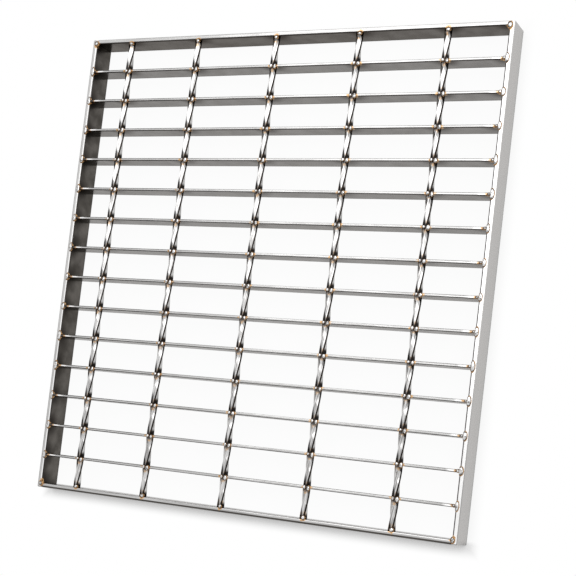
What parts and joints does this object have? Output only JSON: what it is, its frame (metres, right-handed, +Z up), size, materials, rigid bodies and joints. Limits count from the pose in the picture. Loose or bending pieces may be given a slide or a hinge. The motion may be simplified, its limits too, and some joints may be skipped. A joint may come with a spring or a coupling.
{
  "type": "drain grate",
  "caption": "Near-square welded steel drain grate: flat bearing bars on edge, twisted square cross rods and a flat-bar frame, laid over a pit or channel to carry load and pass water.",
  "frame": {"origin": "middle of the underside of the frame", "axes": "+X along the bearing bars, +Y along the twisted rods, +Z up out of the walking face"},
  "size_m": [0.515, 0.532, 0.0305],
  "materials": {
    "bright_steel": "bright rolled and brushed bare steel, with small polished welds ringed by straw heat tint"
  },
  "bodies": {
    "root": {"side_bar_left": "bright_steel", "side_bar_right": "bright_steel", "end_bar_front": "bright_steel", "end_bar_back": "bright_steel", "grating_mat": "bright_steel"}
  },
  "joints": []
}
